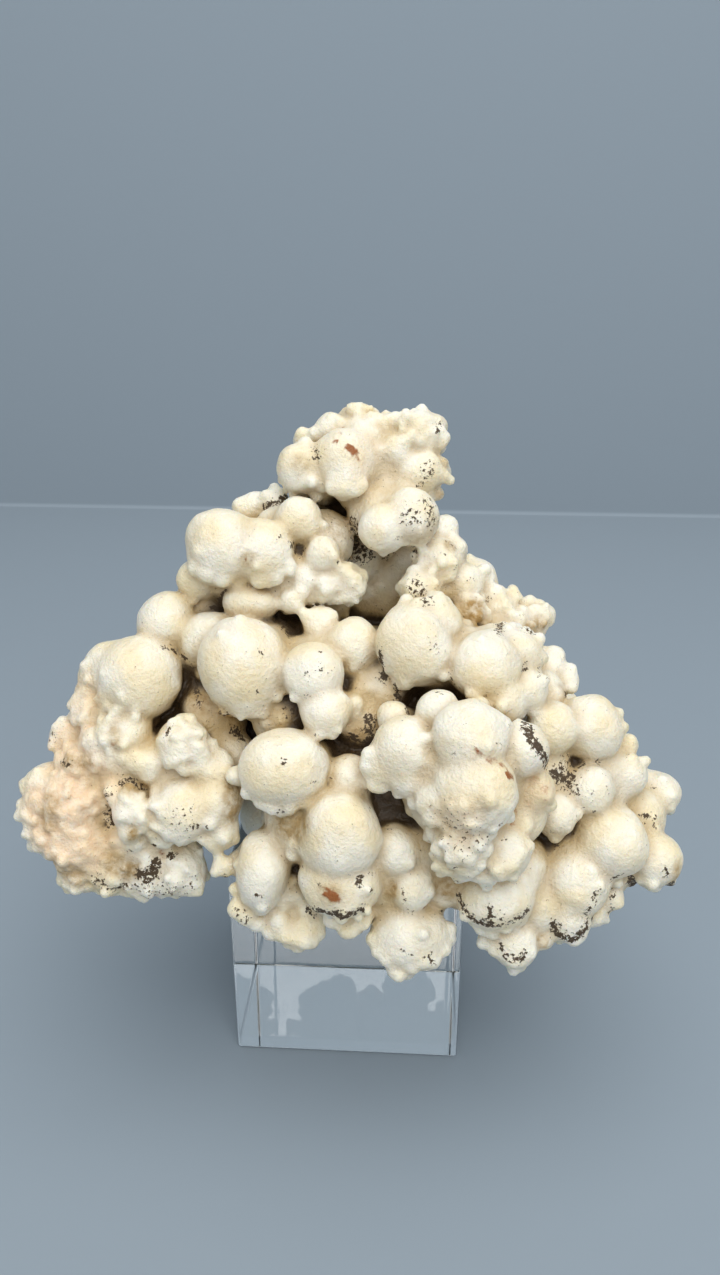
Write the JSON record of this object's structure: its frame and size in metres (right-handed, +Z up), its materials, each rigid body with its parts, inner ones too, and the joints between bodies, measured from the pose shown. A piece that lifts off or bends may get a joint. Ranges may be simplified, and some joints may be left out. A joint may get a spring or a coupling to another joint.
{
  "type": "aragonite cluster",
  "caption": "Globular aragonite specimen with rounded cream lobes, resting on a clear square display block.",
  "frame": {"origin": "centre of the display block's bottom face, where it meets the surface it stands on", "axes": "+Z up, +X to the viewer's right in front of the stone, -Y towards the viewer"},
  "size_m": [0.1051, 0.0625, 0.1118],
  "materials": {
    "aragonite": "satin",
    "acrylic": "gloss"
  },
  "bodies": {
    "root": {"aragonite_cluster": "aragonite", "display_block": "acrylic"}
  },
  "joints": []
}
